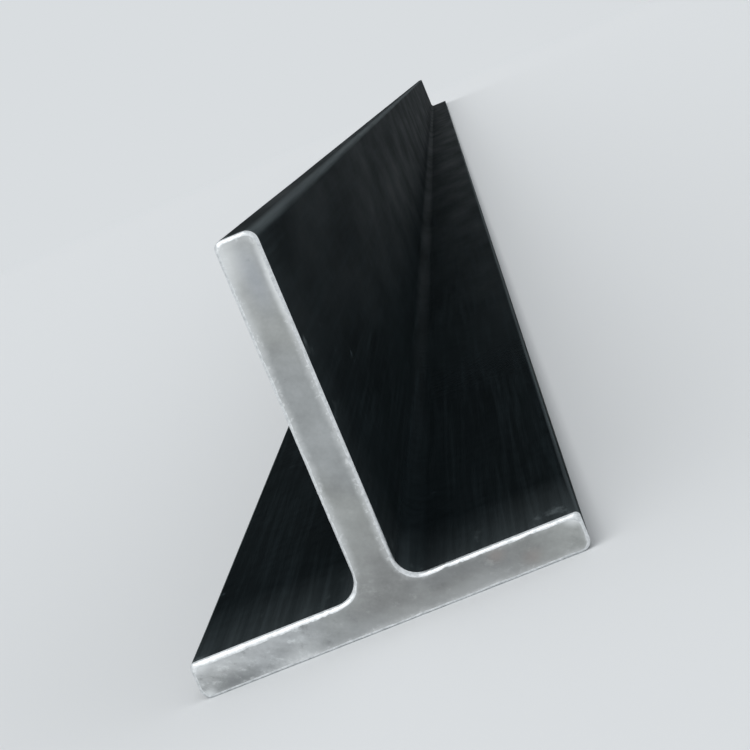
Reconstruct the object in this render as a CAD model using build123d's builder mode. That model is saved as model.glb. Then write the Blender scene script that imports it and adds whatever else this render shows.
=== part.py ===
from build123d import *
import os

# Length of the stock bar as it is sawn and sold, in millimetres
bar_length = 6000.0

# Rolled section, its stem a little thicker than its flange
flange_width = 100.0
flange_thickness = 9.5
section_height = 100.0
stem_thickness = 10.5

# Radii that the rolls leave on the section
root_radius = 6.0
stem_tip_radius = 3.0
flange_toe_radius = 2.5
flange_back_radius = 2.5

# Sharp edge dressed off round each sawn end
sawn_edge_break = 0.7

os.makedirs("parts", exist_ok=True)

# The bar lies along Y on the back of its flange, with its stem up.
# The origin is on the flange's back, under the stem and halfway along the bar.
with BuildPart() as tee_beam:

    # Section square to the bar: the stem stands on the middle of the flange
    with BuildSketch(Plane.XZ) as section:
        Rectangle(flange_width, flange_thickness, align=(Align.CENTER, Align.MIN))
        Rectangle(stem_thickness, section_height, align=(Align.CENTER, Align.MIN))

        # Four sharp corners lie level on the flange's upper face: a toe, the two roots, a toe
        fillet(section.vertices().group_by(Axis.Y)[1].sort_by(Axis.X)[1:3], root_radius)
        ledge_corners = section.vertices().group_by(Axis.Y)[1].sort_by(Axis.X)
        fillet([ledge_corners[0], ledge_corners[-1]], flange_toe_radius)

        # The lowest corners bound the flange's back, the highest the stem's tip
        fillet(section.vertices().group_by(Axis.Y)[0], flange_back_radius)
        fillet(section.vertices().group_by(Axis.Y)[-1], stem_tip_radius)
    extrude(amount=bar_length / 2, both=True)

    # Both ends are sawn square, and the sharp edge is dressed off all round each cut
    sawn_faces = tee_beam.faces().filter_by(Plane.XZ)
    chamfer(sawn_faces.edges(), sawn_edge_break)

tee_beam.part.label = "tee_beam"
export_step(tee_beam.part, "parts/tee_beam.step")
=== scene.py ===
import math
from functools import partial

import bpy
import numpy as np
from mathutils import Matrix, Vector


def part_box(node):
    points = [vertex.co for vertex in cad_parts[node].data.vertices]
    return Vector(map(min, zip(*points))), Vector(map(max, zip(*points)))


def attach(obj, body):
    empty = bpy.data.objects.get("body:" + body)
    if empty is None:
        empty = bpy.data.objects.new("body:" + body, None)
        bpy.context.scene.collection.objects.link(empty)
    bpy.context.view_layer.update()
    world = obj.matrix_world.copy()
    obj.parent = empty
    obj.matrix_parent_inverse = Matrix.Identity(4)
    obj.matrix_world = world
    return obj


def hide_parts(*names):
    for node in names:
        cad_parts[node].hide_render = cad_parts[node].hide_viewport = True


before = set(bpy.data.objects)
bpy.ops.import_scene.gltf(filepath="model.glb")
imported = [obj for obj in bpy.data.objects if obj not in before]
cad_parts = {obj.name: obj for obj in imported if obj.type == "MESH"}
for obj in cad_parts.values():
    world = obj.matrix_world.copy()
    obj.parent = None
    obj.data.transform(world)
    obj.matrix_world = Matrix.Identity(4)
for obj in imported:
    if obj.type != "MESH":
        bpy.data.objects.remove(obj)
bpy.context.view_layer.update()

mm = 0.001


# small helpers

# one sRGB channel c: c / 12.92 below 0.04045, else ((c + 0.055) / 1.055) to the power 2.4
def linear(hexCode):
    channels = np.array([int(hexCode[i:i + 2], 16) for i in (1, 3, 5)]) / 255
    low = channels / 12.92
    high = ((channels + 0.055) / 1.055) ** 2.4
    return (*np.where(channels <= 0.04045, low, high).tolist(), 1.0)


# texture scale for a pattern whose features are sizeMm apart, on coordinates in metres
def perMetre(sizeMm):
    return 1000 / sizeMm


# adds one node, sets its properties, then its inputs by name or number: a value, a socket to link,
# or a node, which stands for its first output
def addNode(material, kind, inputs=None, **settings):
    tree = material.node_tree
    node = tree.nodes.new("ShaderNode" + kind)
    for name, value in settings.items():
        setattr(node, name, value)
    for key, value in (inputs or {}).items():
        if isinstance(value, bpy.types.Node):
            value = value.outputs[0]
        if isinstance(value, bpy.types.NodeSocket):
            tree.links.new(value, node.inputs[key])
        else:
            node.inputs[key].default_value = value
    return node


# a material whose node tree is still empty
def newMaterial(name):
    material = bpy.data.materials.new(name)
    material.use_nodes = True
    material.node_tree.nodes.clear()
    return material


# smooth random field: the mean of many cosine waves, each with its own direction, length near size
# and phase, stretched back to about -1 to 1
def softNoise(points, size, seed, waves=24):
    rng = np.random.default_rng(seed)
    directions = rng.normal(size=(waves, points.shape[-1]))
    directions /= np.linalg.norm(directions, axis=1)[:, None]
    lengths = size * rng.uniform(0.7, 1.6, waves)
    phases = rng.uniform(0, 2 * np.pi, waves)
    angles = points @ (directions / lengths[:, None]).T * 2 * np.pi + phases
    return np.cos(angles).mean(axis=-1) * math.sqrt(2 * waves) / 2


# the bar

# each radius: of the rolled corner, then of the cut inside its dressed edge
teeBar = {
    "flangeThickness": 9.5 * mm,
    "stemThickness": 10.5 * mm,
    "rootRadius": (6.0 * mm, 6.75 * mm),
    "leftTipRadius": (2.0 * mm, 1.8 * mm),     # the stem's tip is rounder on the right
    "rightTipRadius": (3.0 * mm, 2.6 * mm),
    "flangeToeRadius": (1.2 * mm, 2.4 * mm),
    "flangeBackRadius": (2.6 * mm, 2.2 * mm),
    "sampleStep": 0.8 * mm,           # along the outline
    "arcSteps": 9,
    "edgeRounding": 0.75 * mm,        # dressed edge of the saw cut, on average
    "edgeUnevenness": 0.12,           # share by which that rounding comes and goes
    "edgeUnevennessSize": 6 * mm,
    "upperRounding": 0.2 * mm,        # wider on the edges that face up
    "leftLedgeRounding": 0.5 * mm,    # wider still on the left ledge, in full from this far out
    "leftLedgeReach": 40 * mm,
    "upperDepthShare": 0.35,          # depth along the bar of what those two add
    "edgeTurns": [66, 44, 22, 0],     # degrees round that edge, from the cut to the rolled faces
    "burrs": 70,                      # small tags of metal left on each cut's inner edges
    "burrHeight": 0.28 * mm,
    "burrWidth": 0.35 * mm,
    "burrMargin": 6 * mm,             # they keep this far from the sides and the top of the bar's box
    "burrLowest": 2 * mm,
    "tallBurr": (5.25 * mm, 78 * mm),   # across and up, of the one tag that stands out
    "tallBurrGrowth": (1.6, 1.4),     # its width and height, counted in the others'
    "nicks": 14,                      # small dents in each cut's edge
    "nickDepth": 0.22 * mm,
    "nickWidth": 0.7 * mm,
    "stations": [1.4, 1.9, 2.6, 3.6, 5, 8, 13, 22, 36],   # mm back from each cut
    "stationStep": 70 * mm,
    "rollWave": 0.10 * mm,            # depth of the long swell that the rolls leave
    "rollWaveLength": 260 * mm,
    "rollWaveAcross": 40 * mm,
    "rollWaveFade": 30 * mm,          # back from each cut over which it sets in
    "capSteps": [0.03, 0.08, 0.16, 0.28, 0.45, 0.65, 0.88],   # from the cut's edge in to its middle
    "cutRelief": 0.04 * mm,
    "cutReliefSize": 9 * mm,
    "seed": 11,
}


# The tee's outline as corner points, each rounded by its own radius: every arc turns evenly from the
# line before it to the line after it, and every straight is divided into equal steps, as many as the
# full section has room for. ring 0 is the rolled section, and ring 1 the cut inside its dressed edge,
# with every line further in by the edge's rounding.
# Returns points, outward normals and a bell over each bulging arc (0 at its ends, 1 in its middle).
def teeOutline(bar, width, height, ring):
    flange, stem = bar["flangeThickness"], bar["stemThickness"]
    rightHalf = np.array([[width / 2, 0], [width / 2, flange], [stem / 2, flange], [stem / 2, height]])
    inwards = ring * bar["edgeRounding"] * np.array([[-1, 1], [-1, -1], [-1, -1], [-1, -1]])
    full, corners = (np.vstack([half, half[::-1] * [-1, 1]]) for half in (rightHalf, rightHalf + inwards))
    names = ["flangeBack", "flangeToe", "root", "rightTip", "leftTip", "root", "flangeToe", "flangeBack"]
    radii = np.array([bar[name + "Radius"][ring] for name in names])
    steps = np.linalg.norm(np.roll(full, -1, 0) - full, axis=1) / bar["sampleStep"]

    before = np.roll(corners, 1, 0) - corners
    after = np.roll(corners, -1, 0) - corners
    before /= np.linalg.norm(before, axis=1)[:, None]
    after /= np.linalg.norm(after, axis=1)[:, None]
    starts = corners + before * radii[:, None]
    ends = corners + after * radii[:, None]
    centres = corners + (before + after) * radii[:, None]      # all corners are square
    convex = before[:, 0] * after[:, 1] - before[:, 1] * after[:, 0] < 0

    points, normals, bends = [], [], []
    for i in range(len(corners)):
        turn = np.linspace(0, math.pi / 2, bar["arcSteps"] + 1)[:, None]
        fromCentre = (starts[i] - centres[i]) * np.cos(turn) + (ends[i] - centres[i]) * np.sin(turn)
        side = 1 if convex[i] else -1
        points.append(centres[i] + fromCentre)
        normals.append(side * fromCentre / radii[i])
        bends.append(convex[i] * np.sin(2 * turn[:, 0]))
        run = starts[(i + 1) % len(corners)] - ends[i]
        share = np.linspace(0, 1, round(steps[i]) + 1)[1:-1, None]
        points.append(ends[i] + run * share)
        normals.append(np.repeat([[run[1], -run[0]]], len(share), 0) / np.linalg.norm(run))
        bends.append(np.zeros(len(share)))
    return np.vstack(points), np.vstack(normals), np.concatenate(bends)


# The point of the section's middle line behind each point of the outline: level through the flange,
# upright through the stem, and round the corner between them while the outline passes a root fillet.
def middleLine(bar, points, width, height):
    flange, stem, root = bar["flangeThickness"], bar["stemThickness"], bar["rootRadius"][0]
    x, z = points.T
    reach = stem / 2 + root
    inRoot = (np.abs(x) < reach + 1e-9) & (z > flange - 1e-9) & (z < flange + root + 1e-9)
    turned = np.arctan2(flange + root - z, reach - np.abs(x)) / (math.pi / 2)   # 0 at stem, 1 at ledge
    alongFlange = np.clip(2 * turned - 1, 0, 1) * reach
    upStem = np.clip(1 - 2 * turned, 0, 1) * (flange / 2 + root)
    onStem = z > flange + root
    middleX = np.where(onStem, 0, np.clip(x, -(width - flange) / 2, (width - flange) / 2))
    middleZ = np.where(onStem, np.minimum(z, height - stem / 2), flange / 2)
    middleX = np.where(inRoot, np.sign(x) * alongFlange, middleX)
    middleZ = np.where(inRoot, flange / 2 + upStem, middleZ)
    return np.stack([middleX, middleZ], 1)


# one cut's edge: distance along the outline against a sum of narrow bell curves, tags of metal
# outwards where the section has room inside its box and dents inwards elsewhere
def edgeDamage(bar, points, width, height, seed):
    rng = np.random.default_rng(seed)
    steps = np.linalg.norm(np.roll(points, -1, 0) - points, axis=1)
    along = np.concatenate([[0], np.cumsum(steps)[:-1]])
    girth = steps.sum()

    # the sum of height * exp(-(gap / width) squared), each gap taken the shorter way round
    def bells(centres, widths, heights):
        gap = (along[:, None] - centres[None] + girth / 2) % girth - girth / 2
        return (heights * np.exp(-(gap / widths) ** 2)).sum(1)

    x, z = points.T
    margin = bar["burrMargin"]
    room = (np.abs(x) < width / 2 - margin) & (z > bar["burrLowest"]) & (z < height - margin)
    tagCentres = rng.choice(along[room], bar["burrs"], replace=False)
    tags = bells(tagCentres, bar["burrWidth"] * rng.uniform(0.5, 1.5, bar["burrs"]),
                 bar["burrHeight"] * rng.uniform(0.25, 1.0, bar["burrs"]) ** 1.5)
    tall = np.argmin(np.linalg.norm(points - bar["tallBurr"], axis=1))
    wider, taller = bar["tallBurrGrowth"]
    tags = tags + bells(along[[tall]], wider * bar["burrWidth"], taller * bar["burrHeight"])
    dents = bells(rng.uniform(0, girth, bar["nicks"]),
                  bar["nickWidth"] * rng.uniform(0.5, 2.0, bar["nicks"]),
                  bar["nickDepth"] * rng.uniform(0.15, 1.0, bar["nicks"]))
    return np.where(room, tags, 0) - dents


# The whole bar is one surface of two parameters: round the outline, and from the middle of the
# front cut out over its edge, back along the bar and in over the rear cut's edge to its middle.
def makeTeeBar(bar, low, high):
    width, height = (high - low)[[0, 2]]
    outline, normals, bends = teeOutline(bar, width, height, 0)
    cutOutline = teeOutline(bar, width, height, 1)[0]
    middle = middleLine(bar, outline, width, height)
    count = len(outline)

    # the points of a section (across, up), all of them at y along the bar
    def at(section, y):
        return np.column_stack([section[:, 0], np.broadcast_to(y, count), section[:, 1]])

    # one end, as rings from the middle of the cut to the last close station; its dressed edge is a
    # quarter of an ellipse, as wide on the cut as across says and as long on the bar as deep says
    def endRings(cutY, inward, seed):
        damage = edgeDamage(bar, outline, width, height, seed)
        swell = np.clip(softNoise(at(outline, cutY), bar["edgeUnevennessSize"], seed + 1), -3, 3)
        uneven = bar["edgeRounding"] * bar["edgeUnevenness"] * swell
        onLeft = np.clip(-outline[:, 0] / bar["leftLedgeReach"], 0, 1)
        upper = np.clip(normals[:, 1], 0, 1) * (bar["upperRounding"] + bar["leftLedgeRounding"] * onLeft)
        across = bar["edgeRounding"] + uneven + upper
        deep = bar["edgeRounding"] + uneven + bar["upperDepthShare"] * upper
        dressed = cutOutline - normals * (uneven + upper)[:, None]
        cutEdge = dressed + normals * damage[:, None]
        rings, zones, fromEdge = [], [], []
        for share in bar["capSteps"][::-1] + [0]:
            section = cutEdge + (middle - cutEdge) * share
            flat = min(1, share / bar["capSteps"][1])
            hills = 0.5 + 0.5 * softNoise(at(section, cutY), bar["cutReliefSize"], seed + 2)
            relief = np.clip(hills, 0, None) * bar["cutRelief"] * flat
            rings.append(at(section, cutY + inward * relief))
            zones.append("cut")
            fromEdge.append(across + np.linalg.norm(section - cutEdge, axis=1))
        for turn in np.radians(bar["edgeTurns"]):
            tags = normals * (damage * math.sin(turn))[:, None]
            section = outline + (dressed - outline) * (1 - math.cos(turn)) + tags
            rings.append(at(section, cutY + inward * deep * (1 - math.sin(turn))))
            zones.append("edge")
            fromEdge.append(across * (1 - math.cos(turn)))
        for distance in bar["stations"]:
            rings.append(at(outline, cutY + inward * distance * mm))
            zones.append("rolled")
            fromEdge.append(np.zeros(count))
        return rings, zones, fromEdge

    front, frontZones, frontDepths = endRings(low[1], 1, bar["seed"])
    rear, rearZones, rearDepths = endRings(high[1], -1, bar["seed"] + 50)
    first, last = front[-1][0, 1], rear[-1][0, 1]
    stations = np.linspace(first, last, round((last - first) / bar["stationStep"]) + 1)[1:-1]
    rings = front + [at(outline, y) for y in stations] + rear[::-1]
    zones = frontZones + ["rolled"] * len(stations) + rearZones[::-1]
    fromEdge = frontDepths + [np.zeros(count)] * len(stations) + rearDepths[::-1]
    points = np.stack(rings)

    # long shallow swell of the rolled faces, always inwards so that the bar keeps inside its size
    fromEnd = np.minimum(points[..., 1] - low[1], high[1] - points[..., 1])
    stretched = points / [bar["rollWaveAcross"], bar["rollWaveLength"], bar["rollWaveAcross"]]
    swell = 0.5 + 0.5 * np.clip(softNoise(stretched.reshape(-1, 3), 1, bar["seed"] + 7), -1, 1)
    settingIn = np.clip(fromEnd / bar["rollWaveFade"], 0, 1)
    depth = bar["rollWave"] * swell.reshape(points.shape[:2]) * settingIn
    outward = np.column_stack([normals[:, 0], np.zeros(count), normals[:, 1]])
    points = points - outward[None] * depth[..., None]

    # four-sided faces between neighbouring rings, and one flat face in the middle of each cut
    ring, turn = np.meshgrid(np.arange(len(rings) - 1), np.arange(count), indexing="ij")
    nextTurn = (turn + 1) % count
    quads = np.stack([ring * count + turn, (ring + 1) * count + turn,
                      (ring + 1) * count + nextTurn, ring * count + nextTurn], -1).reshape(-1, 4)
    frontMiddle = np.arange(count)
    rearMiddle = (len(rings) - 1) * count + np.arange(count)[::-1]
    faces = quads.tolist() + [frontMiddle.tolist(), rearMiddle.tolist()]

    mesh = bpy.data.meshes.new("rolled_tee_bar")
    mesh.from_pydata(points.reshape(-1, 3), [], faces)

    # material of each face by the zone of the ring it starts from
    order = {"rolled": 0, "edge": 1, "cut": 2}
    zoneOf = np.array([order[z] for z in zones])
    between = np.where(zoneOf[:-1] == zoneOf[1:], zoneOf[:-1],
                       np.where((zoneOf[:-1] == 1) | (zoneOf[1:] == 1), 1, 0))
    faceZone = np.concatenate([np.repeat(between, count), [2, 2]])
    mesh.polygons.foreach_set("material_index", faceZone.astype(np.int32))
    mesh.polygons.foreach_set("use_smooth", np.ones(len(mesh.polygons), bool))
    for name, values in (("toeBend", np.tile(bends, len(rings))), ("fromEdge", np.concatenate(fromEdge))):
        mesh.attributes.new(name, "FLOAT", "POINT").data.foreach_set("value", values.astype(np.float32))
    mesh.validate()
    mesh.update()
    piece = bpy.data.objects.new("rolled_tee_bar", mesh)
    bpy.context.scene.collection.objects.link(piece)
    print("bar made:", count, "points round,", len(rings), "rings,", len(mesh.polygons), "faces")
    return piece


# finishes; a noise texture stays mostly between 0.3 and 0.7, and how much of a surface a pattern
# covers is set by where between those its range starts and ends

millScaleLook = {
    "darkTone": "#2B3133",
    "midTone": "#3C4447",
    "streakTone": "#566165",
    # pale tone both of the painted light, by the cuts and along the toes, and of the real scuffs
    "rubAndLightTone": "#929A9C",
    "flakeTone": "#7A858B",           # bare steel where a flake of scale came off
    "grazingTone": "#16191B",         # what is left of the gloss when looking along the surface
    "patchSize": 34,                  # all sizes in mm
    "patchDraw": 4.5,                 # times longer along the bar
    "streakSize": 1.8,
    "streakDraw": 55,
    "streakShare": 0.35,
    "mottleSize": 5,
    "mottleDepth": 0.16,              # share by which the mottling lightens and darkens
    "grainSize": 0.9,                 # the real grain is nearer 0.2 and would not show
    "flakeSize": 9,
    "flakeShare": 0.5,
    "frontLightLength": 48 * mm,         # painted light: back from each cut over which the scale is made paler
    "frontLightShare": 0.35,
    "ledgeTop": 12 * mm,              # that painted light is full up to this height, and from stemFrom up it is stemShare of it
    "stemFrom": 26 * mm,              # it is stemShare of it
    "stemShare": 0.25,
    "toeHighlightShare": 0.55,                 # of the painted highlight along each rounded toe
    "scuffSize": 7,
    "scuffDraw": 2.9,
    "scuffLength": 30 * mm,           # back from each cut, scuffed in handling
    "scuffShare": 0.7,
    "roughness": 0.5,
    "roughnessSwing": 0.07,
}


# Hot-rolled structural steel, as rolled: a skin of blue-black mill scale, smooth and dull, in broad
# patches drawn out along the bar with faint roll lines and scuffed by the cuts. Painted light makes it
# paler by the cuts, most on the ledges, and a painted highlight runs along each rounded toe.
def makeMillScale(look, cutAt):
    material = newMaterial("hotRolledMillScale")
    add = partial(addNode, material)
    place = add("TexCoord").outputs["Object"]
    axes = add("SeparateXYZ", {"Vector": place}).outputs
    drawnOut = add("Mapping", {"Vector": place, "Scale": (1, 1 / look["patchDraw"], 1)})
    rollLines = add("Mapping", {"Vector": place, "Scale": (1, 1 / look["streakDraw"], 1)})
    smeared = add("Mapping", {"Vector": place, "Scale": (1, 1 / look["scuffDraw"], 1),
                              "Rotation": (0.4, 0, 0.5)})
    patches = add("TexNoise", {"Vector": drawnOut, "Scale": perMetre(look["patchSize"]), "Detail": 5,
                               "Roughness": 0.55})
    streaks = add("TexNoise", {"Vector": rollLines, "Scale": perMetre(look["streakSize"]), "Detail": 4,
                               "Roughness": 0.6})
    mottle = add("TexNoise", {"Vector": place, "Scale": perMetre(look["mottleSize"]), "Detail": 5,
                              "Roughness": 0.6})
    grain = add("TexNoise", {"Vector": place, "Scale": perMetre(look["grainSize"]), "Detail": 3,
                             "Roughness": 0.7})
    flakes = add("TexNoise", {"Vector": place, "Scale": perMetre(look["flakeSize"]), "Detail": 8,
                              "Roughness": 0.62})
    scuffs = add("TexNoise", {"Vector": smeared, "Scale": perMetre(look["scuffSize"]), "Detail": 6,
                              "Roughness": 0.6})

    # two dark tones in patches, paler along some roll lines, mottled, with flakes gone here and there
    byPatch = add("MapRange", {"Value": patches, "From Min": 0.35, "From Max": 0.65})
    tone = add("MixRGB", {"Fac": byPatch, "Color1": linear(look["darkTone"]),
                          "Color2": linear(look["midTone"])})
    byStreak = add("MapRange", {"Value": streaks, "From Min": 0.45, "From Max": 0.8,
                                "To Max": look["streakShare"]})
    tone = add("MixRGB", {"Fac": byStreak, "Color1": tone, "Color2": linear(look["streakTone"])})
    gain = add("MapRange", {"Value": mottle, "From Min": 0.3, "From Max": 0.7,
                            "To Min": 1 - look["mottleDepth"], "To Max": 1 + look["mottleDepth"]})
    tone = add("VectorMath", {0: tone, 1: gain}, operation="MULTIPLY")
    byFlake = add("MapRange", {"Value": flakes, "From Min": 0.68, "From Max": 0.73,
                               "To Max": look["flakeShare"]})
    tone = add("MixRGB", {"Fac": byFlake, "Color1": tone, "Color2": linear(look["flakeTone"])})

    # painted light: whichever is more, light by a cut and most on the flange's ledges, or a highlight
    # along a rounded toe, and patchy along the roll lines
    fromMiddle = add("Math", {0: axes["Y"]}, operation="ABSOLUTE")
    # painted light falling in by each cut, stronger towards the cut
    lightByCut = add("MapRange", {"Value": fromMiddle, "From Min": cutAt - look["frontLightLength"],
                             "From Max": cutAt, "To Max": look["frontLightShare"]})
    onLedge = add("MapRange", {"Value": axes["Z"], "From Min": look["ledgeTop"],
                               "From Max": look["stemFrom"], "To Min": 1, "To Max": look["stemShare"]})
    frontLight = add("Math", {0: lightByCut, 1: onLedge}, operation="MULTIPLY")
    # painted highlight along each rounded toe
    bend = add("Attribute", attribute_name="toeBend").outputs["Fac"]
    toeHighlight = add("Math", {0: bend, 1: look["toeHighlightShare"]}, operation="MULTIPLY")
    paintedLight = add("Math", {0: frontLight, 1: toeHighlight}, operation="MAXIMUM")
    patchy = add("MapRange", {"Value": streaks, "From Min": 0.3, "From Max": 0.62,
                              "To Min": 0.6, "To Max": 1})
    streakedPaintedLight = add("Math", {0: paintedLight, 1: patchy}, operation="MULTIPLY")
    tone = add("MixRGB", {"Fac": streakedPaintedLight, "Color1": tone, "Color2": linear(look["rubAndLightTone"])})

    # scuffed: the noise's peaks, in full over most of the last stretch before a cut
    nearCut = add("MapRange", {"Value": fromMiddle, "From Min": cutAt - look["scuffLength"],
                               "From Max": cutAt - 0.3 * look["scuffLength"],
                               "To Max": look["scuffShare"]})
    peaks = add("MapRange", {"Value": scuffs, "From Min": 0.6, "From Max": 0.72})
    scuffed = add("Math", {0: peaks, 1: nearCut}, operation="MULTIPLY")
    tone = add("MixRGB", {"Fac": scuffed, "Color1": tone, "Color2": linear(look["rubAndLightTone"])})

    rough = add("MapRange", {"Value": patches, "From Min": 0.3, "From Max": 0.7,
                             "To Min": look["roughness"] + look["roughnessSwing"],
                             "To Max": look["roughness"] - look["roughnessSwing"]})
    fine = add("Bump", {"Height": grain, "Strength": 0.25, "Distance": 0.02 * mm})
    scaly = add("Bump", {"Height": mottle, "Strength": 0.3, "Distance": 0.08 * mm, "Normal": fine})
    lined = add("Bump", {"Height": streaks, "Strength": 0.25, "Distance": 0.05 * mm, "Normal": scaly})
    shader = add("BsdfPrincipled", {"Base Color": tone, "Roughness": rough, "Normal": lined, "Metallic": 1,
                                    "Specular Tint": linear(look["grazingTone"])})
    add("OutputMaterial", {"Surface": shader})
    return material


sawCutLook = {
    "midTone": "#AAACAA",
    # darker tone of the painted shade round the root
    "rootShadeTone": "#979897",
    "coolTone": "#A1A5AA",
    # paler tone of the painted sheen up the tip and to the left
    "sheenTone": "#C8CACA",
    # tone of the painted highlight inside the cut's edge
    "edgeHighlightTone": "#D8DADA",
    "speckTone": "#F0F2F2",
    "smudgeTone": "#6C6F70",
    "rootShadePlace": (14 * mm, 0, 2 * mm),     # middle of the painted shade round the root, off to the flange's right
    "rootShadeInner": 15 * mm,
    "rootShadeOuter": 31 * mm,
    "tipFrom": 66 * mm,               # painted sheen: the stem turns paler from here up to its tip
    "tipSheenShare": 0.5,
    "leftFrom": 9 * mm,               # painted sheen: the flange's left half turns paler between these two
    "leftTo": 28 * mm,
    "leftSheenShare": 0.8,
    "castSize": 34,                   # all sizes in mm
    "castShare": 0.35,
    "cloudSize": 14,
    "cloudDepth": 0.13,               # share by which soft clouds lighten and darken the steel
    "cloudDrift": (0, 0.2, 0),        # moves the clouds to where the photograph has them
    "streakSize": 5,
    "streakDepth": (0.06, 0.2),       # smeared clouds: share on the stem, and where the cut is most torn
    "streakFall": 27,                 # degrees below level, running to the right
    "streakStretch": 3.2,
    "mottleSize": 3.5,
    "mottleDepth": 0.025,
    "grainSize": 0.9,                 # the real grain is finer and would not show
    "grainDepth": 0.03,
    "tearSize": 1.8,                  # flecks and pits, in clusters, where the saw tore the flange
    "tearStretch": 1.7,               # along the smears
    "tearDepth": 0.24,
    "tearBetween": 0.2,               # share of them left between the clusters
    "flangeTo": 11 * mm,              # the flange's finish passes into the stem's between these two
    "stemFrom": 20 * mm,
    "tornRight": 0.28,                # share of the tearing on the flange's right half
    "fleckShare": 0.45,
    "pitShare": 0.3,
    "edgeHighlightWidth": 2.6 * mm,            # painted highlight: pale band inside the cut's edge
    "edgeHighlightShare": 0.75,
    "edgeHighlightNarrowing": 0.6 * mm,        # of that band on the flange and round the root
    "edgeHighlightRaggedness": 0.45 * mm,
    "speckSize": 1.5,
    "speckShare": 0.9,
    "smudgeSize": 5,
    "smudgeShare": 0.4,
    "roughness": 0.36,
    "roughnessSwing": 0.06,
    "sawMiddle": (-304 * mm, 0, 228 * mm),   # of the disc whose arcs cross the cut
    "toothMark": 5.03,                # mm between arcs; the real ones are nearer 0.2 and would not show
    # soft patches of another tone, some of them painted highlights: middle and reach, both across and up
    # in mm, and the share in the middle
    "patches": [
        # painted highlights on the tip's upper left and along the stem's left edge
        {"middle": (-4.5, 96), "reach": (6.5, 11), "tone": "#F0F2F2", "share": 0.6},
        {"middle": (-5.5, 79), "reach": (5, 18), "tone": "#D8DADA", "share": 0.45},
        {"middle": (-5.5, 28), "reach": (4.5, 11), "tone": "#D8DADA", "share": 0.45},
        {"middle": (1, 89), "reach": (4.5, 13), "tone": "#9FA5B0", "share": 0.4},
        # painted highlight along the stem's right edge near the tip
        {"middle": (4.6, 86), "reach": (1.8, 16), "tone": "#F8FAFA", "share": 0.65},
        {"middle": (-41, 1.5), "reach": (12, 5.5), "tone": "#777A7C", "share": 0.62},
        # painted highlights at the left toe's lower and upper corners
        {"middle": (-48, 1), "reach": (2.6, 2.6), "tone": "#F0F2F2", "share": 0.8},
        {"middle": (-48, 8.2), "reach": (4.5, 2.4), "tone": "#F0F2F2", "share": 0.9},
        # painted highlight at the right toe's upper corner
        {"middle": (48.6, 8.6), "reach": (4.2, 3), "tone": "#F8FAFA", "share": 1},
        {"middle": (-24, 1.5), "reach": (8, 4), "tone": "#E4E6E6", "share": 0.5},
        # painted highlights, the next three: along the left flange's upper part, and the pale band widened
        # along the flange's lower edge
        {"middle": (-42, 7.5), "reach": (24, 5), "tone": "#F0F2F2", "share": 0.26},
        {"middle": (-2, 1), "reach": (20, 5), "tone": "#D8DADA", "share": 0.32},
        {"middle": (23, 1), "reach": (27, 5), "tone": "#D8DADA", "share": 0.4},
        {"middle": (16, 7.2), "reach": (16, 4), "tone": "#777A7C", "share": 0.36},
        {"middle": (28, 7), "reach": (3.4, 2.8), "tone": "#A89C96", "share": 0.42},   # faint rusty bloom
        {"middle": (36, 3.5), "reach": (4, 3), "tone": "#A89C96", "share": 0.36},
    ],
}
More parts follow.
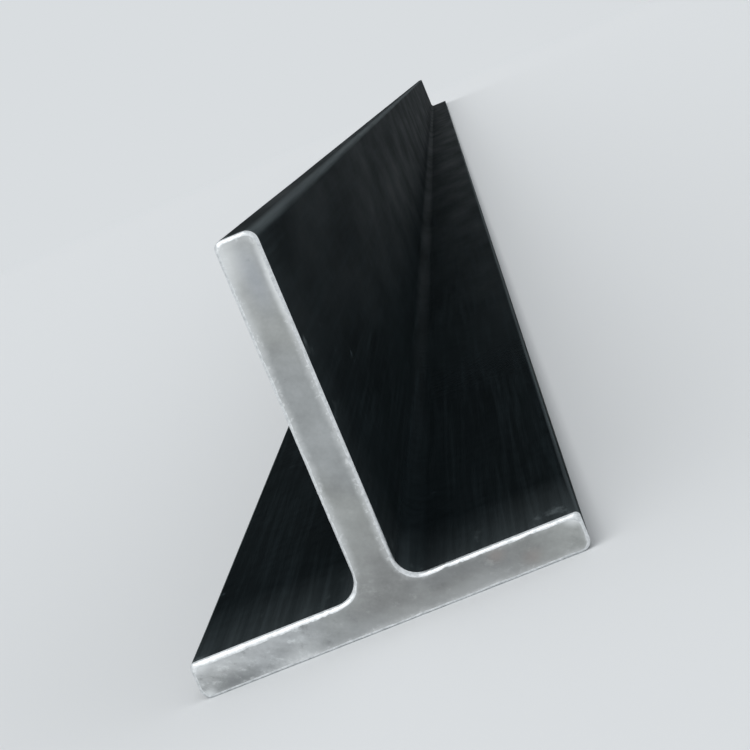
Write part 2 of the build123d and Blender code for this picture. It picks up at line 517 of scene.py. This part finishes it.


# Bright steel as a cold saw leaves it: satin, with faint arcs from the teeth and soft clouds, and with
# flecks and pits where the teeth tore the flange. Painted light in its colour: a pale band of painted
# highlight inside the edge, painted sheen towards the tip and the left toe, painted shade round the root.
def makeSawCut(look, height):
    material = newMaterial("coldSawnSteel")
    add = partial(addNode, material)
    place = add("TexCoord").outputs["Object"]
    axes = add("SeparateXYZ", {"Vector": place}).outputs
    flat = add("VectorMath", {0: place, 1: (1, 0, 1)}, operation="MULTIPLY")
    drifted = add("Mapping", {"Vector": place, "Location": look["cloudDrift"]})
    smeared = add("Mapping", {"Vector": drifted, "Scale": (look["streakStretch"], 1, 1),
                              "Rotation": (0, math.radians(look["streakFall"]), 0)}, vector_type="TEXTURE")
    fromDisc = add("Mapping", {"Vector": place, "Location": look["sawMiddle"]}, vector_type="TEXTURE")
    casts = add("TexNoise", {"Vector": place, "Scale": perMetre(look["castSize"]), "Detail": 2,
                             "Roughness": 0.4})
    clouds = add("TexNoise", {"Vector": drifted, "Scale": perMetre(look["cloudSize"]), "Detail": 4,
                              "Roughness": 0.55})
    streaks = add("TexNoise", {"Vector": smeared, "Scale": perMetre(look["streakSize"]), "Detail": 4,
                               "Roughness": 0.55})
    mottle = add("TexNoise", {"Vector": place, "Scale": perMetre(look["mottleSize"]), "Detail": 4,
                              "Roughness": 0.6})
    grain = add("TexNoise", {"Vector": place, "Scale": perMetre(look["grainSize"]), "Detail": 3,
                             "Roughness": 0.6})
    brushed = add("Mapping", {"Vector": drifted, "Scale": (look["tearStretch"], 1, 1),
                              "Rotation": (0, math.radians(look["streakFall"]), 0)}, vector_type="TEXTURE")
    tears = add("TexNoise", {"Vector": brushed, "Scale": perMetre(look["tearSize"]), "Detail": 4,
                             "Roughness": 0.65})
    specks = add("TexNoise", {"Vector": place, "Scale": perMetre(look["speckSize"]), "Detail": 3,
                              "Roughness": 0.6})
    smudges = add("TexNoise", {"Vector": place, "Scale": perMetre(look["smudgeSize"]), "Detail": 6,
                               "Roughness": 0.65})
    waveLength = 2 * math.pi / 20     # of a wave texture at scale 1
    arcs = add("TexWave", {"Vector": fromDisc, "Scale": perMetre(look["toothMark"]) * waveLength,
                           "Distortion": 1.2, "Detail": 2, "Detail Scale": 3},
               wave_type="RINGS", rings_direction="Y")

    # broad tones: painted shade round the root, painted sheen up the tip and to the left, a cooler cast
    # here and there
    fromRoot = add("VectorMath", {0: flat, 1: look["rootShadePlace"]}, operation="DISTANCE").outputs["Value"]
    rootShade = add("MapRange", {"Value": fromRoot, "From Min": look["rootShadeInner"],
                              "From Max": look["rootShadeOuter"], "To Min": 1, "To Max": 0},
                 interpolation_type="SMOOTHSTEP")
    tone = add("MixRGB", {"Fac": rootShade, "Color1": linear(look["midTone"]),
                          "Color2": linear(look["rootShadeTone"])})
    tipSheen = add("MapRange", {"Value": axes["Z"], "From Min": look["tipFrom"], "From Max": height,
                             "To Max": look["tipSheenShare"]}, interpolation_type="SMOOTHSTEP")
    toLeft = add("MapRange", {"Value": axes["X"], "From Min": -look["leftTo"],
                              "From Max": -look["leftFrom"], "To Min": 1, "To Max": 0},
                 interpolation_type="SMOOTHSTEP")
    leftSheen = add("Math", {0: toLeft, 1: look["leftSheenShare"]}, operation="MULTIPLY")
    pale = add("Math", {0: tipSheen, 1: leftSheen}, operation="MAXIMUM")
    tone = add("MixRGB", {"Fac": pale, "Color1": tone, "Color2": linear(look["sheenTone"])})
    byCast = add("MapRange", {"Value": casts, "From Min": 0.42, "From Max": 0.6,
                              "To Max": look["castShare"]}, interpolation_type="SMOOTHSTEP")
    tone = add("MixRGB", {"Fac": byCast, "Color1": tone, "Color2": linear(look["coolTone"])})

    # clouds, mottling and grain, each lightening as much as it darkens
    for pattern, name in ((clouds, "cloudDepth"), (mottle, "mottleDepth"), (grain, "grainDepth")):
        gain = add("MapRange", {"Value": pattern, "From Min": 0.34, "From Max": 0.66,
                                "To Min": 1 - look[name], "To Max": 1 + look[name]})
        tone = add("VectorMath", {0: tone, 1: gain}, operation="MULTIPLY")

    # torn: the flange only, its left half in full and its right half in part
    onFlange = add("MapRange", {"Value": axes["Z"], "From Min": look["flangeTo"],
                                "From Max": look["stemFrom"], "To Min": 1, "To Max": 0},
                   interpolation_type="SMOOTHSTEP")
    bySide = add("Math", {0: toLeft, 1: 1 - look["tornRight"], 2: look["tornRight"]},
                 operation="MULTIPLY_ADD")
    torn = add("Math", {0: onFlange, 1: bySide}, operation="MULTIPLY")
    clusters = add("MapRange", {"Value": smudges, "From Min": 0.46, "From Max": 0.58,
                                "To Min": look["tearBetween"]}, interpolation_type="SMOOTHSTEP")
    flecked = add("Math", {0: torn, 1: clusters}, operation="MULTIPLY")

    # smeared clouds the same way: 1 + depth * swing, swing from -1 to 1 and depth more where torn
    swing = add("MapRange", {"Value": streaks, "From Min": 0.36, "From Max": 0.64,
                             "To Min": -1, "To Max": 1})
    calm, strong = look["streakDepth"]
    depth = add("Math", {0: torn, 1: strong - calm, 2: calm}, operation="MULTIPLY_ADD")
    gain = add("Math", {0: swing, 1: depth, 2: 1}, operation="MULTIPLY_ADD")
    tone = add("VectorMath", {0: tone, 1: gain}, operation="MULTIPLY")
    swing = add("MapRange", {"Value": tears, "From Min": 0.34, "From Max": 0.66,
                             "To Min": -look["tearDepth"], "To Max": look["tearDepth"]})
    gain = add("Math", {0: swing, 1: flecked, 2: 1}, operation="MULTIPLY_ADD")
    tone = add("VectorMath", {0: tone, 1: gain}, operation="MULTIPLY")

    # painted highlight: a pale band inside the edge, its inner border ragged, with bright specks, and dark
    # smudges anywhere
    fromEdge = add("Attribute", attribute_name="fromEdge").outputs["Fac"]
    ragged = add("MapRange", {"Value": mottle, "From Min": 0.3, "From Max": 0.7,
                              "To Min": -look["edgeHighlightRaggedness"], "To Max": look["edgeHighlightRaggedness"]})
    narrowed = add("Math", {0: onFlange, 1: look["edgeHighlightNarrowing"], 2: ragged}, operation="MULTIPLY_ADD")
    reach = add("Math", {0: fromEdge, 1: narrowed}, operation="ADD")
    edgeHighlight = add("MapRange", {"Value": reach, "From Min": 0.3 * mm, "From Max": look["edgeHighlightWidth"],
                            "To Min": look["edgeHighlightShare"], "To Max": 0}, interpolation_type="SMOOTHSTEP")
    tone = add("MixRGB", {"Fac": edgeHighlight, "Color1": tone, "Color2": linear(look["edgeHighlightTone"])})
    bright = add("MapRange", {"Value": specks, "From Min": 0.53, "From Max": 0.65,
                              "To Max": look["speckShare"]}, interpolation_type="SMOOTHSTEP")
    speckled = add("Math", {0: bright, 1: edgeHighlight}, operation="MULTIPLY")
    tone = add("MixRGB", {"Fac": speckled, "Color1": tone, "Color2": linear(look["speckTone"])})
    dark = add("MapRange", {"Value": smudges, "From Min": 0.62, "From Max": 0.74,
                            "To Max": look["smudgeShare"]}, interpolation_type="SMOOTHSTEP")
    tone = add("MixRGB", {"Fac": dark, "Color1": tone, "Color2": linear(look["smudgeTone"])})

    # patches, some of them painted highlights: each fades out with the distance from its middle, counted
    # in reaches
    for patch in look["patches"]:
        (across, up), (reachAcross, reachUp) = patch["middle"], patch["reach"]
        counted = add("Mapping", {"Vector": flat, "Location": (across * mm, 0, up * mm),
                                  "Scale": (reachAcross * mm, 1, reachUp * mm)}, vector_type="TEXTURE")
        distance = add("VectorMath", {0: counted}, operation="LENGTH").outputs["Value"]
        share = add("MapRange", {"Value": distance, "To Min": patch["share"], "To Max": 0},
                    interpolation_type="SMOOTHSTEP")
        tone = add("MixRGB", {"Fac": share, "Color1": tone, "Color2": linear(patch["tone"])})

    # flecks and pits: the peaks and the hollows of the tears, over everything else
    for start, end, share, colour in ((0.58, 0.68, "fleckShare", "speckTone"),
                                      (0.42, 0.32, "pitShare", "smudgeTone")):
        peak = add("MapRange", {"Value": tears, "From Min": start, "From Max": end,
                                "To Max": look[share]})
        fleck = add("Math", {0: peak, 1: flecked}, operation="MULTIPLY")
        tone = add("MixRGB", {"Fac": fleck, "Color1": tone, "Color2": linear(look[colour])})

    rough = add("MapRange", {"Value": clouds, "From Min": 0.3, "From Max": 0.7,
                             "To Min": look["roughness"] + look["roughnessSwing"],
                             "To Max": look["roughness"] - look["roughnessSwing"]})
    marks = add("Bump", {"Height": arcs, "Strength": 0.3, "Distance": 0.02 * mm})
    pits = add("Bump", {"Height": grain, "Strength": 0.35, "Distance": 0.03 * mm, "Normal": marks})
    shader = add("BsdfPrincipled", {"Base Color": tone, "Roughness": rough, "Metallic": 1, "Normal": pits})
    add("OutputMaterial", {"Surface": shader})
    return material


dressedEdgeHighlightLook = {
    # near-white tone, partly filed steel and partly a painted highlight on the edge
    "tone": "#EEF0F1",
    "dullTone": "#D2D5D6",
    "rubSize": 3,                     # mm
    "touchSize": 1.2,
    "roughness": 0.42,
}


# Steel edge dressed with a file and rubbed by handling: brighter than the cut beside it, in short
# touches a millimetre or so long. Its near-white tone is partly a painted highlight.
def makeDressedEdgeHighlight(look):
    material = newMaterial("dressedSteelEdgeHighlight")
    add = partial(addNode, material)
    place = add("TexCoord").outputs["Object"]
    rubs = add("TexNoise", {"Vector": place, "Scale": perMetre(look["rubSize"]), "Detail": 5,
                            "Roughness": 0.6})
    touches = add("TexNoise", {"Vector": place, "Scale": perMetre(look["touchSize"]), "Detail": 3,
                               "Roughness": 0.6})
    share = add("MapRange", {"Value": touches, "From Min": 0.36, "From Max": 0.62})
    tone = add("MixRGB", {"Fac": share, "Color1": linear(look["dullTone"]),
                          "Color2": linear(look["tone"])})
    filed = add("Bump", {"Height": rubs, "Strength": 0.3, "Distance": 0.05 * mm})
    shader = add("BsdfPrincipled", {"Base Color": tone, "Roughness": look["roughness"], "Metallic": 1,
                                    "Normal": filed})
    add("OutputMaterial", {"Surface": shader})
    return material


low, high = (np.array(corner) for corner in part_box("tee_beam"))
piece = makeTeeBar(teeBar, low, high)
piece.data.materials.append(makeMillScale(millScaleLook, high[1]))
piece.data.materials.append(makeDressedEdgeHighlight(dressedEdgeHighlightLook))
piece.data.materials.append(makeSawCut(sawCutLook, high[2] - low[2]))
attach(piece, "root")
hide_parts("tee_beam")
print("finishes set")


# floor, light and camera

studio = {
    "floorTone": "#DFE1E2",
    "farTone": "#D9DDE0",             # all behind the floor, as bright as the floor looks in this light
    "floorSize": 80,
    "fadeFrom": 4.5,                  # metres from the bar's middle where the lit floor starts to turn
    "fadeTo": 9,                      # into plain backdrop, and where it has
    "skyTone": "#F4F7FA",
    "skyStrength": 0.74,
}


# Floor: lit and shadowed near the bar, and further off a plain tone, by the distance from the middle.
def makeFloor(room):
    half = room["floorSize"] / 2
    mesh = bpy.data.meshes.new("floor")
    corners = [(-half, -half, 0), (half, -half, 0), (half, half, 0), (-half, half, 0)]
    mesh.from_pydata(corners, [], [(0, 1, 2, 3)])
    floor = bpy.data.objects.new("floor", mesh)
    bpy.context.scene.collection.objects.link(floor)
    material = newMaterial("paleFloor")
    add = partial(addNode, material)
    lit = add("BsdfPrincipled", {"Base Color": linear(room["floorTone"]), "Roughness": 0.8,
                                 "Specular IOR Level": 0.1})
    plain = add("Emission", {"Color": linear(room["farTone"]), "Strength": 1})
    place = add("TexCoord").outputs["Object"]
    distance = add("VectorMath", {0: place}, operation="LENGTH").outputs["Value"]
    fade = add("MapRange", {"Value": distance, "From Min": room["fadeFrom"], "From Max": room["fadeTo"]},
               interpolation_type="SMOOTHSTEP")
    shader = add("MixShader", {0: fade, 1: lit, 2: plain})
    add("OutputMaterial", {"Surface": shader})
    mesh.materials.append(material)


# World: soft light on the bar, and the floor's tone where the camera, gloss or glass looks at it.
def makeWorld(room):
    world = bpy.data.worlds.new("studio")
    world.use_nodes = True
    world.node_tree.nodes.clear()
    add = partial(addNode, world)
    sky = add("Background", {"Color": linear(room["skyTone"]), "Strength": room["skyStrength"]})
    seen = add("Background", {"Color": linear(room["farTone"]), "Strength": 1})
    ray = add("LightPath").outputs
    direct = add("Math", {0: ray["Is Camera Ray"], 1: ray["Is Glossy Ray"]}, operation="ADD")
    either = add("Math", {0: direct, 1: ray["Is Transmission Ray"]}, operation="ADD", use_clamp=True)
    add("OutputWorld", {"Surface": add("MixShader", {0: either, 1: sky, 2: seen})})
    bpy.context.scene.world = world


lamps = {
    "skylight": {"place": (-1.0, -1.3, 2.6), "aim": (0, 0, 0), "spread": 50, "power": 0.9},
    "window": {"place": (-1.2, -3.2, 1.6), "aim": (0, 0, 0), "spread": 40, "power": 0.3},
}


# A lamp far off, as a sun: its light runs from its place towards its aim, and its spread in degrees
# is how wide it looks from the bar, which sets how soft its shadows are.
def makeLamp(name, lamp):
    data = bpy.data.lights.new(name, "SUN")
    data.energy = lamp["power"]
    data.angle = math.radians(lamp["spread"])
    light = bpy.data.objects.new(name, data)
    bpy.context.scene.collection.objects.link(light)
    light.location = lamp["place"]
    direction = Vector(lamp["aim"]) - light.location
    light.rotation_euler = direction.to_track_quat("-Z", "Y").to_euler()


# The eye stands where the photograph's did, in the bar's own frame: a little right of the stem,
# just above its tip and 0.46 m in front of the cut. It is turned so that the stem leans left.
viewpoint = {
    "right": 0.0576,
    "up": 0.1175,
    "inFront": 0.4604,
    "aimRight": 0.0181,
    "aimUp": 0.0575,
    "stemLean": 22.97,                # degrees in the picture
    "focalPixels": 2003,
    "pictureWidth": 750,
}


# Camera: looks level from the eye to the aim, then turns about that line by the difference between
# the lean the stem has in that level picture (the angle from its foot to its tip) and the one asked
# for. Its lens is the focal length in pixels times the sensor's width over the picture's width.
def makeCamera(view, low):
    data = bpy.data.cameras.new("camera")
    data.sensor_width = 36
    data.lens = view["focalPixels"] * data.sensor_width / view["pictureWidth"]
    data.clip_end = 200
    camera = bpy.data.objects.new("camera", data)
    bpy.context.scene.collection.objects.link(camera)
    cutY = low[1]
    eye = Vector((view["right"], cutY - view["inFront"], view["up"]))
    aim = Vector((view["aimRight"], cutY, view["aimUp"]))
    level = (aim - eye).to_track_quat("-Z", "Y").to_matrix()
    foot, tip = (level.transposed() @ (Vector((0, cutY, z)) - eye) for z in (0, high[2]))
    across = tip.x / -tip.z - foot.x / -foot.z
    upwards = tip.y / -tip.z - foot.y / -foot.z
    leanNow = math.atan2(-across, upwards)
    roll = Matrix.Rotation(leanNow - math.radians(view["stemLean"]), 3, "Z")
    camera.matrix_world = Matrix.Translation(eye) @ (level @ roll).to_4x4()
    bpy.context.scene.camera = camera


makeFloor(studio)
makeWorld(studio)
for lampName, lamp in lamps.items():
    makeLamp(lampName, lamp)
makeCamera(viewpoint, low)
bpy.context.scene.view_settings.view_transform = "Standard"
print("floor, light and camera set")
